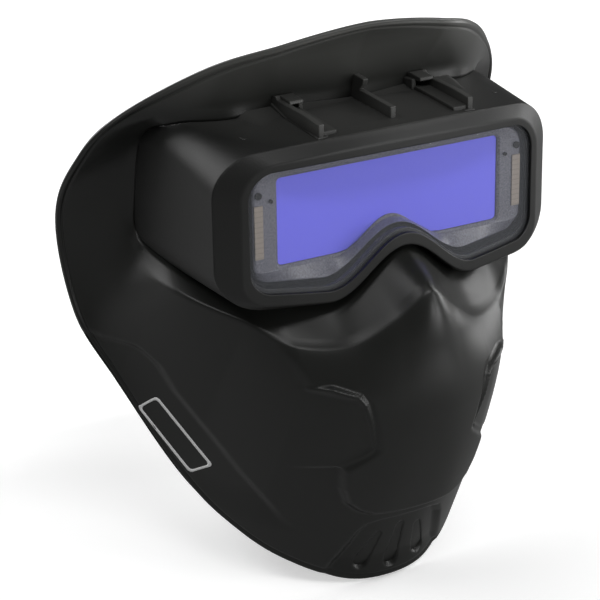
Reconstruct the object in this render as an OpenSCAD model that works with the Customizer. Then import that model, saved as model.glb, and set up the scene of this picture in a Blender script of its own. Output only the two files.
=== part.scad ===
// Compact welding mask: auto-darkening goggles carried in a moulded face shield, with a pivoting head strap.
// The front faces -Y, +Z is up and +X is the wearer's left. The origin is the middle of the face seal,
// on the plane where the seal first meets the brow.

/* [Goggles] */
// Distance from the front of the bezel back to the face seal
reach = 72; // [60:1:90]
// Half the width of the bezel across its front face
bezel_half = 72.5; // [65:0.5:80]
// Half the width of the opening in the bezel
opening_half = 69; // [60:0.5:76]
// Half the width of the viewing window
window_half = 54; // [45:0.5:58]
// Half the height of the viewing window
window_rise = 19; // [15:0.5:22]
// Radius of the front's curve across the face
front_curve = 270; // [180:5:500]
// Radius of the wearer's brow, which the seal follows
brow_curve = 105; // [90:1:130]

/* [Shield] */
// Full width of the shield at the temples
shield_width = 218; // [190:1:240]
// Height of the shield from brow flange to chin
shield_height = 252; // [220:1:280]
// Thickness of the moulded shell
shell = 3; // [2:0.5:4]

/* [Head strap] */
// Width of the elastic webbing
strap_width = 36; // [25:1:45]
// Distance from the pivot pins to the nape
strap_reach = 137; // [125:1:180]
// Angle that the slack strap hangs below level
strap_drop = 62; // [0:1:62]

/* [Hidden] */

// Smoothness: stations from the middle of an edge to its end, and facets round a true circle
steps = 16;
fine = 64;

// Thickness of the housing wall and of the webbing, and the gap between the front frame and the housing
wall = 2.6;
web_thickness = 2.2;
clear = 0.4;

// Colours
black = [0.05, 0.05, 0.055];
satin = [0.09, 0.09, 0.1];
grey = [0.3, 0.3, 0.34];
violet = [0.42, 0.42, 0.83];

// Depths behind the front of the bezel: its rim, the middle and back of the housing, the seat of the seal
rim_depth = 2.4;
mid_depth = 34;
back_depth = 64;
seal_depth = 66.6;
seam_curve = 225;

// Depths in the cartridge: back of the frame, front of its step, front and back of the window's edge
frame_back = 24;
step_front = 24.2;
step_back = 27;
window_front = 13;
window_back = 20;

// Pivot pins of the head strap, and the rear face of the seal frame's lugs that they stand in
pin_y = 112;
pin_z = -2;
pin_radius = 3;
lug_x = 79.2;
lug_thick = 3;

// Controls and battery
control_depth = 24.4;
dial_x = 59.6;
battery_y = 46;

// ---- outlines shared by everything in the goggles ----

// How far a cylinder of this radius falls away at a distance x from the middle
function sweep(radius, x) = radius - sqrt(radius * radius - x * x);

// Drop of a rounded corner of radius r at the end of an edge of half width w
function corner(x, w, r) = abs(x) > w - r ? r - sqrt(max(0, r * r - pow(abs(x) - w + r, 2))) : 0;

// An outline: [half width, top, crown, top corner, trough, crest, foot half width, rise, bottom corner]
function top_edge(o, x) = o[1] - o[2] * pow(x / o[0], 2) - corner(x, o[0], o[3]);
function nose_arch(o, x) = o[4] + (o[5] - o[4]) * (1 + cos(180 * min(1, abs(x) / o[6]))) / 2;
function foot_rise(o, x) = o[7] * max(0, abs(x) - o[6]) / (o[0] - o[6]);
function foot_edge(o, x) = nose_arch(o, x) + foot_rise(o, x) + corner(x, o[0], o[8]);

// Stations along an edge, closer together at the corners
function station(w, i) = w * sin(90 * i / steps);
function outline(o) = concat(
    [for (i = [-steps:steps]) let (x = station(o[0], i)) [x, top_edge(o, x)]],
    [for (i = [steps:-1:-steps]) let (x = station(o[0], i)) [x, foot_edge(o, x)]]);

bezel_front = [bezel_half, 30.2, 4.4, 14, -35.5, -16.5, 35, 3, 10];
bezel_rear = [bezel_half + 9, 36, 6.6, 17, -36.6, -16, 35, 1, 18];
bezel_open = [opening_half, 26.3, 3, 11, -30.5, -10.8, 35, 3, 9];
lens_seat = [opening_half + 1.6, 28, 3, 12, -32.2, -12.4, 35, 3, 10];
skirt_rear = [bezel_half, 32.4, 6, 14, -33, -12.8, 35, 4, 10];
lens_edge = [opening_half + 1.4, 27.8, 3, 12, -32, -12.2, 35, 3, 10];
gasket_open = [opening_half - 1.2, 25.2, 3, 10, -29.2, -9.6, 35, 3, 8];
housing_front = [bezel_half + 8.8, 35.8, 6.6, 17, -36.4, -16, 35, 1, 18];
housing_mid = [bezel_half + 8.8, 37.6, 3, 12, -36.4, -14, 33, 1.5, 14];
housing_rear = [80.5, 37, 5, 18, -36.5, -12, 30, 2, 12];
frame_outer = [66.4, 24.6, 2.4, 9, -28.6, -9.2, 35, 2, 8];
window_edge = [window_half, window_rise, 0, 2, -window_rise, -6.4, 24, 0, 2];
seal_outer = [79, 35.4, 5, 17, -35, -10.6, 28, 2, 10];
seal_inner = [67, 25, 5, 16, -26, 0, 26, 2, 12];

// The same outline moved inwards by d
function inset(o, d) = [o[0] - d, o[1] - d, o[2], o[3] - d, o[4] + d, o[5] + d, o[6], o[7], o[8] - d];

function front_at(x, depth) = depth + sweep(front_curve, x) - reach;
function seam_at(x, depth) = depth + sweep(seam_curve, x) - reach;
function brow_at(x, depth) = depth + sweep(brow_curve, x) - reach;
function flat_at(depth) = depth - reach;

// Loops of points in space, each an outline laid on a surface
function front_loop(o, depth) = [for (p = outline(o)) [p[0], front_at(p[0], depth), p[1]]];
function seam_loop(o, depth) = [for (p = outline(o)) [p[0], seam_at(p[0], depth), p[1]]];
function brow_loop(o, depth) = [for (p = outline(o)) [p[0], brow_at(p[0], depth), p[1]]];
function flat_loop(o, depth) = [for (p = outline(o)) [p[0], flat_at(depth), p[1]]];

// A closed ring skinned over loops that run round its own cross-section
module ring(loops) {
    rows = len(loops);
    cols = len(loops[0]);
    polyhedron(
        points = [for (l = loops, p = l) p],
        faces = [for (r = [0:rows - 1], c = [0:cols - 1])
            let (r2 = (r + 1) % rows, c2 = (c + 1) % cols)
            for (half = [0, 1])
            half == 0 ? [r * cols + c, r2 * cols + c, r * cols + c2]
                : [r2 * cols + c, r2 * cols + c2, r * cols + c2]]);
}

// A solid plate between an outline's top and foot edges, from one depth to another
module plate(o, front, back) {
    n = 2 * steps + 1;
    loops = [
        [for (i = [-steps:steps]) let (x = station(o[0], i)) [x, front[i + steps], top_edge(o, x)]],
        [for (i = [-steps:steps]) let (x = station(o[0], i)) [x, front[i + steps], foot_edge(o, x)]],
        [for (i = [-steps:steps]) let (x = station(o[0], i)) [x, back[i + steps], foot_edge(o, x)]],
        [for (i = [-steps:steps]) let (x = station(o[0], i)) [x, back[i + steps], top_edge(o, x)]]];
    polyhedron(
        points = [for (l = loops, p = l) p],
        faces = concat(
            [for (r = [0:3], c = [0:n - 2], half = [0, 1]) let (r2 = (r + 1) % 4)
                half == 0 ? [r * n + c, r * n + c + 1, r2 * n + c]
                    : [r2 * n + c, r * n + c + 1, r2 * n + c + 1]],
            [[0, n, 2 * n, 3 * n], [4 * n - 1, 3 * n - 1, 2 * n - 1, n - 1]]));
}
function curved(w, depth) = [for (i = [-steps:steps]) front_at(station(w, i), depth)];
function level(depth) = [for (i = [-steps:steps]) flat_at(depth)];

module both_sides(side) {
    mirror([side < 0 ? 1 : 0, 0, 0]) children();
}

// ---- shield: guide lines from brow to chin, as [x, behind the bezel, z] ----

// Where the shield's collar meets the goggles, as [place on the outline, behind the bezel]: the place runs
// from 0 at the middle of the roof to 1 and 2 at the ends of a side and 3 at the nose
collar_route = [[0, 42], [0.29, 46], [0.52, 48], [0.79, 65], [0.96, 84], [1.6, 92], [2.04, 91], [2.2, 62],
    [2.41, 38], [2.56, 24], [2.73, 12], [2.87, 9], [3, 8]];
crease_line = [[0, 42, 43], [35, 46, 43], [60, 49, 40.5], [80, 66, 35.5], [84, 85, 20.5], [85, 96, -8],
    [84, 88, -33], [82, 50, -37.5], [66, 20, -44], [50, 8, -51.5], [31, -4, -50.5], [14, -12.5, -39],
    [0, -17, -28]];
rim_line = [[0, 26, 72], [41.5, 32, 66.5], [68.5, 49, 57], [94.5, 77, 34.5], [106, 95, 12], [109, 116, -20],
    [104.5, 110, -64], [94, 93, -93], [74, 72, -136], [57, 45, -158], [40, 29, -170], [20, 18, -178],
    [0, 15, -180]];
// How far each section bows forward between crease and rim
bow_line = [-4, 0, 0, 0, 0, 0, -4, -6, 0, 14, 16, 16, 16];
hollow_power = 1.5;
bulge_power = 0.65;

// How far the guide lines stretch from the size they are drawn at
width_scale = shield_width / 218;
height_scale = shield_height / 252;
flange_z = 40;
// Columns between stations, rows from collar to rim, and how far the collar grips into the housing
sub = 3;
rows_to_rim = 8;
grip = 0.4;
stations = len(rim_line) - 1;

// Catmull-Rom through a guide line, mirrored past both ends
function mirrored(l, i) = i < 0 ? [-l[-i][0], l[-i][1], l[-i][2]]
    : i > stations ? [-l[2 * stations - i][0], l[2 * stations - i][1], l[2 * stations - i][2]] : l[i];
function blend(a, b, c, d, t) = ((2 * b) + (c - a) * t + (2 * a - 5 * b + 4 * c - d) * t * t
    + (3 * b - a - 3 * c + d) * t * t * t) / 2;
function along(l, u) = let (i = min(stations - 1, floor(u)), t = u - i)
    blend(mirrored(l, i - 1), mirrored(l, i), mirrored(l, i + 1), mirrored(l, i + 2), t);
function bow_at(u) = let (i = min(stations - 1, floor(u)), t = u - i)
    bow_line[i] * (1 - t) + bow_line[i + 1] * t;

// A point on the skin of the goggles, just under its surface so that the collar grips
function outline_point(o, t) =
    t <= 1 ? let (x = o[0] * sin(90 * t)) [x, top_edge(o, x)]
    : t >= 2 ? let (x = o[0] * sin(90 * (3 - t))) [x, foot_edge(o, x)]
    : [o[0], top_edge(o, o[0]) * (2 - t) + foot_edge(o, o[0]) * (t - 1)];
function on_goggles(t, depth) =
    let (a = outline_point(inset(housing_front, grip), t), b = outline_point(inset(housing_mid, grip), t),
        c = outline_point(inset(housing_rear, grip), t), from = rim_depth + clear + sweep(seam_curve, a[0]),
        middle = mid_depth + sweep(brow_curve, b[0]), to = back_depth + sweep(brow_curve, c[0]),
        late = depth > middle, p = late ? b : a, q = late ? c : b,
        k = late ? (depth - middle) / (to - middle) : (depth - from) / (middle - from))
        [p[0] + k * (q[0] - p[0]), depth, p[1] + k * (q[1] - p[1])];
function collar(u) = let (i = min(stations - 1, floor(u)), t = u - i, l = collar_route)
    blend(i > 0 ? l[i - 1] : [-l[1][0], l[1][1]], l[i], l[i + 1],
        i + 2 <= stations ? l[i + 2] : [6 - l[stations - 1][0], l[stations - 1][1]], t);

// A point of the outer skin: row 0 is the collar, 1 the crease, then on to the rim
function skin_point(u, row) =
    row == 0 ? let (c = collar(u)) on_goggles(c[0], c[1])
    : let (f = (row - 1) / (rows_to_rim - 1), a = along(crease_line, u), b = along(rim_line, u), w = bow_at(u))
        a * (1 - f) + b * f - [0, w * sin(180 * pow(f, w < 0 ? hollow_power : bulge_power)), 0];
function collar_back(u) = let (c = collar(u)) on_goggles(c[0], c[1] + shell);
function scaled(p) = [p[0] * width_scale, p[1] - reach, p[2] * (abs(p[2]) > flange_z ? height_scale : 1)];
loop_count = 2 * stations * sub;
// Column c runs from the brow down one side to the chin and up the other; row -1 is the back of the collar
function column_point(c, row) =
    let (k = (c + loop_count) % loop_count, near = k <= loop_count / 2, u = (near ? k : loop_count - k) / sub,
        p = scaled(row < 0 ? collar_back(u) : skin_point(u, row)))
        [near ? p[0] : -p[0], p[1], p[2]];
function unit(v) = v / norm(v);
function skin_normal(c, row) = unit(cross(
    column_point(c + 1, row) - column_point(c - 1, row),
    column_point(c, min(rows_to_rim, row + 1)) - column_point(c, max(0, row - 1))));

module face_shield() color(black) {
    outer = [for (r = [0:rows_to_rim]) [for (c = [0:loop_count - 1]) column_point(c, r)]];
    inner = [for (r = [rows_to_rim:-1:1]) [for (c = [0:loop_count - 1])
        column_point(c, r) - shell * skin_normal(c, r)]];
    ring(concat(outer, inner, [[for (c = [0:loop_count - 1]) column_point(c, -1)]]));
}

// ---- goggles ----

module goggle_housing() color(satin) difference() {
    union() {
        ring([seam_loop(housing_front, rim_depth + clear), brow_loop(housing_mid, mid_depth),
            brow_loop(housing_rear, back_depth), brow_loop(inset(housing_rear, wall), back_depth),
            brow_loop(inset(housing_mid, wall), mid_depth), flat_loop(inset(frame_outer, 1.2), step_back),
            flat_loop(inset(frame_outer, 1.2), step_front),
            flat_loop(inset(housing_front, wall + 0.2), step_front),
            seam_loop(inset(housing_front, wall), rim_depth + clear)]);
        // Raised crown on the rear of the roof
        hull() {
            translate([-50, 50 - reach, 35]) cube([100, 4, 4.3]);
            translate([-58, 50 - reach, 35]) cube([116, 4, 0.8]);
            translate([-50, 31 - reach, 34]) cube([100, 1, 1]);
        }
        // Boss that takes the battery
        translate([70, battery_y - reach, 0]) rotate([0, 90, 0]) cylinder(h = 12.2, r = 14, $fn = fine);
    }
    translate([74, battery_y - reach, 0]) rotate([0, 90, 0]) cylinder(h = 9, r = 10.6, $fn = fine);
}

// A side profile given as [behind the bezel, z], made into a rib of this thickness
module profile(points, thick) {
    rotate([90, 0, 90]) linear_extrude(thick) polygon([for (p = points) [p[0] - reach, p[1]]]);
}

module latch_rib() color(satin) translate([-0.4, 0, 0])
    profile([[9.5, 34], [9.5, 41.6], [35, 43], [32.4, 45.2], [31.4, 47.8], [43, 48.6], [43.5, 35.5]], 2.4);

// Latch rail: an outer wall, a floor plate beside it, and a bridge to the crown at the back
rail_wall = [[7.6, 33.6], [7.6, 40.2], [42, 42.4], [43.6, 43.5], [46, 42.9], [47.6, 41], [48, 36], [35, 35.5]];
rail_floor = [[8.4, 33.6], [8.4, 36.8], [39, 38.6], [39, 35.6]];
rail_bridge = [[34, 41.2], [34.5, 43], [43.6, 43.5], [46, 42.9], [47.6, 41], [47.6, 39]];
rail_cheek = [[38, 36], [38, 41.6], [47.6, 41], [47.6, 36]];
module rail() {
    translate([34.7, 0, 0]) profile(rail_wall, 2.6);
    translate([28, 0, 0]) profile(rail_floor, 7.5);
    translate([28, 0, 0]) profile(rail_bridge, 9);
    translate([26.6, 0, 0]) profile(rail_cheek, 2);
}
module rail_right() color(satin) rail();
module rail_left() color(satin) mirror([1, 0, 0]) rail();

module seal_frame() color(black) {
    ring([brow_loop(inset(housing_rear, 0.2), back_depth), brow_loop(inset(housing_rear, 0.2), seal_depth),
        brow_loop(inset(seal_inner, -1), seal_depth), brow_loop(inset(seal_inner, -1), back_depth)]);
    for (side = [-1, 1]) both_sides(side) difference() {
        translate([lug_x, pin_y - reach - 10, pin_z - 9]) cube([lug_thick, 18, 18]);
        translate([lug_x - 1, pin_y - reach, pin_z]) rotate([0, 90, 0])
            cylinder(h = lug_thick + 2, r = pin_radius, $fn = fine);
    }
}

module face_seal() color([0.08, 0.08, 0.08]) ring([
    brow_loop(seal_outer, seal_depth), brow_loop(inset(seal_outer, 1.5), reach),
    brow_loop(inset(seal_inner, -1.5), reach), brow_loop(seal_inner, seal_depth)]);

module filter_frame() color(grey) ring([front_loop(frame_outer, 4.4), flat_loop(frame_outer, frame_back),
    flat_loop(window_edge, window_back), flat_loop(window_edge, window_front)]);

module filter_glass() color(violet) plate(inset(window_edge, 0.05), level(14), level(17));
module inner_lens() color([0.8, 0.85, 0.9, 0.4]) plate(inset(window_edge, 0.05), level(17.4), level(19.4));

module solar_cell(side) both_sides(side) translate([61.2, 12 - reach, -14]) cube([4, 3, 23]);
module solar_cell_left() color([0.55, 0.5, 0.45]) solar_cell(-1);
module solar_cell_right() color([0.55, 0.5, 0.45]) solar_cell(1);
module arc_sensor(side) both_sides(side) translate([63.2, 11.6 - reach, 13.4]) rotate([-90, 0, 0])
    cylinder(h = 3, r = 1.5, $fn = fine);
module arc_sensor_left() color(black) arc_sensor(-1);
module arc_sensor_right() color(black) arc_sensor(1);
module status_light(side) both_sides(side) translate([57.4, 11.6 - reach, 10.2]) rotate([-90, 0, 0])
    cylinder(h = 3, r = 0.8, $fn = fine);
module status_light_left() color([0.1, 0.1, 0.1]) status_light(-1);
module status_light_right() color([0.1, 0.1, 0.1]) status_light(1);

module circuit_board() color([0.05, 0.25, 0.12]) translate([-63, frame_back - 5.9 - reach, 20])
    cube([126, 1.2, 3]);

module pivot_pin(side) both_sides(side) translate([lug_x, pin_y - reach, pin_z]) rotate([0, 90, 0]) {
    cylinder(h = 8.6, r = pin_radius, $fn = fine);
    translate([0, 0, 7.2]) cylinder(h = 1.4, r = pin_radius + 1.8, $fn = fine);
}
module pivot_pin_left() color(grey) pivot_pin(-1);
module pivot_pin_right() color(grey) pivot_pin(1);

module coin_cell() color([0.7, 0.7, 0.72]) translate([74.4, battery_y - reach, 0]) rotate([0, 90, 0])
    cylinder(h = 3.2, r = 10, $fn = fine);
module battery_cap() color(black) translate([82.6, battery_y - reach, 0]) rotate([0, 90, 0]) difference() {
    cylinder(h = 3, r = 13, $fn = fine);
    translate([-9, -0.9, 1.8]) cube([18, 1.8, 2]);
}

// ---- front frame, which unclips forward ----

module front_bezel() color(satin) ring([front_loop(bezel_front, 0), seam_loop(bezel_rear, rim_depth),
    seam_loop(skirt_rear, rim_depth), front_loop(lens_seat, 4.2), front_loop(lens_seat, 1.6),
    front_loop(bezel_open, 1.6), front_loop(bezel_open, 0)]);
module cover_lens() color([0.85, 0.9, 0.95, 0.25]) plate(lens_edge, curved(lens_edge[0], 1.65),
    curved(lens_edge[0], 3));
module lens_gasket() color([0.02, 0.02, 0.02]) ring([front_loop(lens_edge, 3.05), front_loop(lens_edge, 4),
    front_loop(gasket_open, 4), front_loop(gasket_open, 3.05)]);

// ---- head strap ----

// Places its children in the strap's own plane, which drops towards the nape
module strap_plane() translate([0, pin_y - reach, pin_z]) rotate([-strap_drop, 0, 0]) children();

// Strap clip: a round eye on the pin, an arm, and a wide end with the slot that the webbing runs through
clip_reach = 34;
clip_gap = 0.4;
clip_thick = 3.2;
clip_eye = 8;
clip_arm = 22;
clip_x = lug_x + lug_thick + clip_gap;
clip_width = strap_width + 6;
module strap_clip(side) both_sides(side) strap_plane() translate([clip_x, 0, 0]) difference() {
    union() {
        rotate([0, 90, 0]) cylinder(h = clip_thick, r = clip_eye, $fn = fine);
        translate([0, 0, -clip_eye]) cube([clip_thick, clip_arm + 2, 2 * clip_eye]);
        translate([0, clip_arm, -clip_width / 2]) cube([clip_thick, clip_reach - clip_arm, clip_width]);
    }
    translate([-1, 0, 0]) rotate([0, 90, 0]) cylinder(h = clip_thick + 2, r = pin_radius + 0.05, $fn = fine);
    translate([-1, clip_reach - 8, -strap_width / 2 - 0.5]) cube([clip_thick + 2, 4, strap_width + 1]);
}
module strap_clip_left() color(black) strap_clip(-1);
module strap_clip_right() color(black) strap_clip(1);

// Slider: a flat loop round the webbing and its folded end
strap_half = 85.5;
slider_y = 37;
module strap_slider(side) both_sides(side) strap_plane() difference() {
    translate([strap_half - 1, slider_y, -clip_width / 2]) cube([5.4, 11, clip_width]);
    translate([strap_half, slider_y - 1, -strap_width / 2 - 0.4])
        cube([web_thickness + 0.8, 13, strap_width + 0.8]);
}
module strap_slider_left() color(black) strap_slider(-1);
module strap_slider_right() color(black) strap_slider(1);

strap_inner = strap_half + 0.4;
strap_straight = strap_reach - strap_inner;
strap_start = clip_reach - 3.5;
module head_strap() color([0.06, 0.06, 0.06]) strap_plane() {
    for (side = [-1, 1]) both_sides(side)
        translate([strap_inner, strap_start, -strap_width / 2])
            cube([web_thickness, strap_straight - strap_start, strap_width]);
    translate([0, strap_straight, -strap_width / 2]) intersection() {
        difference() {
            cylinder(h = strap_width, r = strap_inner + web_thickness, $fn = 128);
            translate([0, 0, -1]) cylinder(h = strap_width + 2, r = strap_inner, $fn = 128);
        }
        translate([-120, 0, -1]) cube([240, 120, strap_width + 2]);
    }
}

// ---- controls on the back of the filter ----

module dial(z, side) both_sides(side)
    translate([dial_x, control_depth - reach, z]) rotate([-90, 0, 0]) difference() {
    cylinder(h = 3.6, r = 4.6, $fn = fine);
    translate([-3.6, -0.5, 2.6]) cube([7.2, 1, 2]);
}
module shade_dial() color(black) dial(6, 1);
module sensitivity_dial() color(black) dial(6, -1);
module delay_switch() color([0.7, 0.1, 0.08])
    translate([-dial_x - 2, control_depth - reach, -11]) cube([4, 3, 6]);

face_shield();
goggle_housing();
latch_rib();
rail_left();
rail_right();
seal_frame();
face_seal();
filter_frame();
filter_glass();
inner_lens();
solar_cell_left();
solar_cell_right();
arc_sensor_left();
arc_sensor_right();
status_light_left();
status_light_right();
circuit_board();
pivot_pin_left();
pivot_pin_right();
coin_cell();
front_bezel();
cover_lens();
lens_gasket();
strap_clip_left();
strap_clip_right();
strap_slider_left();
strap_slider_right();
head_strap();
shade_dial();
sensitivity_dial();
delay_switch();
battery_cap();
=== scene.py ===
"""Compact welding mask: auto-darkening goggles in a moulded face shield, with a hanging head strap.

Lengths in the shaping code are millimetres, written as (x, behind the front of the bezel, z), with z from the
middle of the window. place() turns them into metres in the frame.
"""

from collections import namedtuple
import math

import bpy
import numpy as np
from mathutils import Matrix, Vector
from mathutils.bvhtree import BVHTree


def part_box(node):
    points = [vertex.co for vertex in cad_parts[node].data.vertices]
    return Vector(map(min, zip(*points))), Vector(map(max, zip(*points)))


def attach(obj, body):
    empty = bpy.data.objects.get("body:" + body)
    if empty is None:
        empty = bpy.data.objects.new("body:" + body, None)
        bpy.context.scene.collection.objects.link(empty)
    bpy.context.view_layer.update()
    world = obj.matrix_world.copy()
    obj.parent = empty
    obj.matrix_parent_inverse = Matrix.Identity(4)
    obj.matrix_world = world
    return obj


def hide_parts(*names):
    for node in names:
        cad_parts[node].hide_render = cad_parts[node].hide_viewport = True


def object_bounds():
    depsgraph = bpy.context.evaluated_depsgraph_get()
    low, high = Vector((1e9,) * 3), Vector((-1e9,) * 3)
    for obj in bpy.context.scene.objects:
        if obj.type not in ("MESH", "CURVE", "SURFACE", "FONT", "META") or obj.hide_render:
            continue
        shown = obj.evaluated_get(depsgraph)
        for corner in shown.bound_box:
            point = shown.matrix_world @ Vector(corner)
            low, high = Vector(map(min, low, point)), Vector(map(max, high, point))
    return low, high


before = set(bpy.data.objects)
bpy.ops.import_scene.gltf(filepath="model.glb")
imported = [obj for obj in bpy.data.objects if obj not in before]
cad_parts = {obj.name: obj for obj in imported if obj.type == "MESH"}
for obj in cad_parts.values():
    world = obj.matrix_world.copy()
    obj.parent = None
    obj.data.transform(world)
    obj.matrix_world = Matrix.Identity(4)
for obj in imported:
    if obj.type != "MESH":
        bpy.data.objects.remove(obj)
cad_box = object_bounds()

MM = 0.001
TINY = 1e-9
ROUND_SHARE = 0.45
REACH = -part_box("front_bezel")[0].y / MM
GLASS_GAP = 0.05
BEZEL_HALF = 72.5
OPENING_HALF = 69.0
WINDOW_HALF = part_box("filter_glass")[1].x / MM + GLASS_GAP
WINDOW_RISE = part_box("filter_glass")[1].z / MM + GLASS_GAP
SHELL = 3.0
EDGE_STEPS = 44

# Radii of the bend round the face, and depths behind the bezel
FRONT_CURVE = 270.0
SEAM_CURVE = 225.0
BROW_CURVE = 105.0
RIM_DEPTH = 2.4
HOUSING_START = RIM_DEPTH + 0.4
MID_DEPTH = 34.0
BACK_DEPTH = 64.0


# ---------------------------------------------------------------- mesh helpers

def place(points):
    """Millimetres behind the bezel to metres in the frame."""
    return (np.asarray(points, float) - (0.0, REACH, 0.0)) * MM


def new_object(name, verts, faces, material, body):
    """A smooth-shaded mesh that rides on a body."""
    mesh = bpy.data.meshes.new(name)
    mesh.from_pydata([tuple(v) for v in verts], [], faces)
    mesh.validate()
    mesh.materials.append(material)
    mesh.shade_smooth()
    obj = bpy.data.objects.new(name, mesh)
    bpy.context.scene.collection.objects.link(obj)
    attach(obj, body)
    return obj


def ring_faces(rows, cols):
    """Quads between closed loops, with the last loop joined to the first."""
    faces = []
    for r in range(rows):
        here, below = r * cols, (r + 1) % rows * cols
        for c in range(cols):
            d = (c + 1) % cols
            faces.append((here + c, below + c, below + d, here + d))
    return faces


def bend(start, corner, end, t):
    """A place on the quadratic curve that rounds a corner."""
    return start * (1 - t) ** 2 + 2 * corner * t * (1 - t) + end * t * t


def soften(loops, radii, arc):
    """Rounds the corner at each loop of a closed section in arc points, over less than half of a side."""
    out = []
    for i, (corner, radius) in enumerate(zip(loops, radii)):
        before = loops[i - 1] - corner
        after = loops[(i + 1) % len(loops)] - corner
        near = np.maximum(np.linalg.norm(before, axis=1, keepdims=True), TINY)
        far = np.maximum(np.linalg.norm(after, axis=1, keepdims=True), TINY)
        start = corner + before / near * np.minimum(radius, near * ROUND_SHARE)
        end = corner + after / far * np.minimum(radius, far * ROUND_SHARE)
        for t in np.linspace(0, 1, arc):
            out.append(bend(start, corner, end, t))
    return out


def loft(name, loops, radii, material, body, arc=5):
    """A solid whose section has a corner at each loop, rounded by that corner's radius."""
    loops = soften(loops, radii, arc)
    cols = len(loops[0])
    obj = new_object(name, place(np.concatenate(loops)), ring_faces(len(loops), cols), material, body)
    weight_normals(obj)
    return obj


def weight_normals(obj):
    mod = obj.modifiers.new("normals", "WEIGHTED_NORMAL")
    mod.weight = 90
    mod.keep_sharp = True


def bevel(obj, width):
    mod = obj.modifiers.new("bevel", "BEVEL")
    mod.width = width * MM
    mod.segments = 3
    mod.limit_method = "ANGLE"
    mod.angle_limit = math.radians(30)
    weight_normals(obj)


def smooth(edge0, edge1, value):
    """A soft step from 0 at one value to 1 at the other."""
    t = np.clip((value - edge0) / (edge1 - edge0), 0, 1)
    return t * t * (3 - 2 * t)


# ---------------------------------------------------------------- outlines of the goggles

# An outline seen from the front, the same on both halves. The top edge is at z = top in the middle and falls
# by fall towards the sides. The foot edge arches from z = foot up to z = nose, nose_half to each side, and
# then rises by lift as far as the sides.
Outline = namedtuple("Outline", "half top fall top_round foot nose nose_half lift foot_round")


def rounding(x, half, radius):
    """How far a rounded corner draws the edge in, at a distance from the middle."""
    over = np.clip(np.abs(x) - (half - radius), 0, radius)
    return radius - np.sqrt(np.maximum(radius * radius - over * over, 0))


def top_edge(o, x):
    return o.top - o.fall * (x / o.half) ** 2 - rounding(x, o.half, o.top_round)


def foot_edge(o, x):
    away = np.abs(x)
    arch = o.foot + (o.nose - o.foot) * (1 + np.cos(np.pi * np.minimum(1, away / o.nose_half))) / 2
    lift = o.lift * np.maximum(0, away - o.nose_half) / (o.half - o.nose_half)
    return arch + lift + rounding(x, o.half, o.foot_round)


def outline(o):
    """Once round: the top edge from left to right, then the foot edge back."""
    x = o.half * np.sin(np.linspace(-np.pi / 2, np.pi / 2, 2 * EDGE_STEPS + 1))
    top = np.stack([x, top_edge(o, x)], 1)
    foot = np.stack([x, foot_edge(o, x)], 1)
    return np.concatenate([top, foot[::-1]])


def inset(o, d):
    """The outline drawn in by a distance; a distance below 0 widens it."""
    return o._replace(half=o.half - d, top=o.top - d, top_round=o.top_round - d, foot=o.foot + d,
                      nose=o.nose + d, foot_round=o.foot_round - d)


def sweep(radius, x):
    """How far back a bend of that radius has gone at x."""
    return radius - np.sqrt(radius * radius - x * x)


def laid(o, depth, curve=None):
    """The outline at a depth, bent round the face by a radius."""
    p = outline(o)
    y = depth + (sweep(curve, p[:, 0]) if curve else np.zeros(len(p)))
    return np.stack([p[:, 0], y, p[:, 1]], 1)


BEZEL_FRONT = Outline(BEZEL_HALF, 30.2, 4.4, 14, -35.5, -16.5, 35, 3, 10)
BEZEL_REAR = Outline(BEZEL_HALF + 9, 36, 6.6, 17, -36.6, -16, 35, 1, 18)
BEZEL_OPEN = Outline(OPENING_HALF, 26.3, 3, 11, -30.5, -10.8, 35, 3, 9)
SKIRT_REAR = Outline(BEZEL_HALF, 32.4, 6, 14, -33, -12.8, 35, 4, 10)
LENS_SEAT = Outline(OPENING_HALF + 1.6, 28, 3, 12, -32.2, -12.4, 35, 3, 10)
LENS_EDGE = Outline(OPENING_HALF + 1.4, 27.8, 3, 12, -32, -12.2, 35, 3, 10)
GASKET_OPEN = Outline(OPENING_HALF - 1.2, 25.2, 3, 10, -29.2, -9.6, 35, 3, 8)
HOUSING_FRONT = Outline(BEZEL_HALF + 8.8, 35.8, 6.6, 17, -36.4, -16, 35, 1, 18)
HOUSING_MID = Outline(BEZEL_HALF + 8.8, 37.6, 3, 12, -36.4, -14, 33, 1.5, 14)
HOUSING_REAR = Outline(80.5, 37, 5, 18, -36.5, -12, 30, 2, 12)
FRAME_OUTER = Outline(66.4, 24.6, 2.4, 9, -28.6, -9.2, 35, 2, 8)
SHELF_EDGE = Outline(66.4, 24.6, 2.4, 9, -27, -8.4, 35, 2, 8)
PLATE_EDGE = Outline(65.6, 23.6, 2.2, 8, -20.4, -7.6, 30, 0, 3)
WINDOW_EDGE = Outline(WINDOW_HALF, WINDOW_RISE, 0, 2, -WINDOW_RISE, -6.4, 24, 0, 2)
SEAL_OUTER = Outline(79, 35.4, 5, 17, -35, -10.6, 28, 2, 10)
SEAL_INNER = Outline(67, 25, 5, 16, -26, 0, 26, 2, 12)


# ---------------------------------------------------------------- materials

# A Mix node keeps its colour sockets at these places
MIX_A, MIX_B, MIX_RESULT = 6, 7, 2


def nodes_of(name):
    mat = bpy.data.materials.new(name)
    mat.use_nodes = True
    tree = mat.node_tree
    return mat, tree, tree.nodes["Principled BSDF"]


def add(tree, kind, **values):
    """A new node, with each value set on the input of that name or else on the node."""
    node = tree.nodes.new(kind)
    for key, value in values.items():
        if key in node.inputs:
            node.inputs[key].default_value = value
        else:
            setattr(node, key, value)
    return node


def object_place(tree):
    return add(tree, "ShaderNodeTexCoord").outputs["Object"]


def rgba(tone):
    """An opaque colour from a colour or from one grey level."""
    return (*tone, 1) if hasattr(tone, "__len__") else (tone, tone, tone, 1)


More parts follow.
